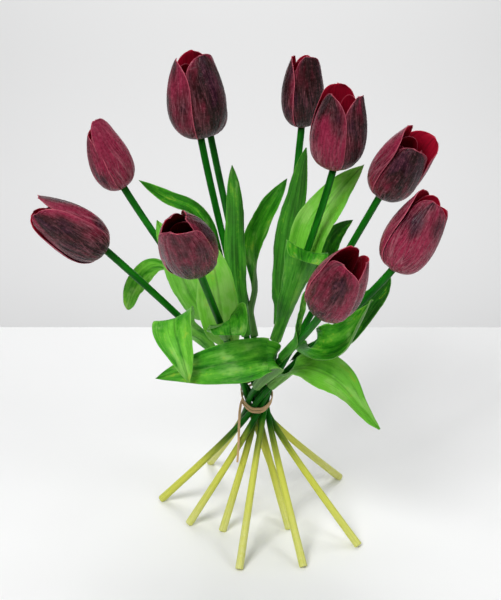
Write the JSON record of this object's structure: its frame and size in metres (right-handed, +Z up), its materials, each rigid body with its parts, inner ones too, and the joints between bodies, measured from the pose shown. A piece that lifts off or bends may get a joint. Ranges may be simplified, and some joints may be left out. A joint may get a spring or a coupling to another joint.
{
  "type": "bunch of tulips",
  "caption": "Bunch of dark burgundy tulips with glossy green leaves, tied at the waist with raffia and standing on its splayed stems.",
  "frame": {"origin": "middle of the bunch's footprint, on the surface it stands on", "axes": "+Z up, -Y towards the viewer of the picture, +X to the viewer's right"},
  "size_m": [0.2558, 0.2324, 0.3136],
  "materials": {
    "petal": "satin",
    "leaf": "satin",
    "stem": "satin",
    "raffia": "fibrous"
  },
  "bodies": {
    "root": {"stem_1": "stem", "bloom_1": "petal", "stem_2": "stem", "bloom_2": "petal", "stem_3": "stem", "bloom_3": "petal", "stem_4": "stem", "bloom_4": "petal", "stem_5": "stem", "bloom_5": "petal", "stem_6": "stem", "bloom_6": "petal", "stem_7": "stem", "bloom_7": "petal", "stem_8": "stem", "bloom_8": "petal", "stem_9": "stem", "bloom_9": "petal", "stem_10": "stem", "bloom_10": "petal", "leaf_1": "leaf", "leaf_2": "leaf", "leaf_3": "leaf", "leaf_4": "leaf", "leaf_5": "leaf", "leaf_6": "leaf", "leaf_7": "leaf", "leaf_8": "leaf", "leaf_9": "leaf", "leaf_10": "leaf", "leaf_11": "leaf", "leaf_12": "leaf", "leaf_13": "leaf", "leaf_14": "leaf", "leaf_15": "leaf", "leaf_16": "leaf", "tie": "raffia"}
  },
  "joints": []
}
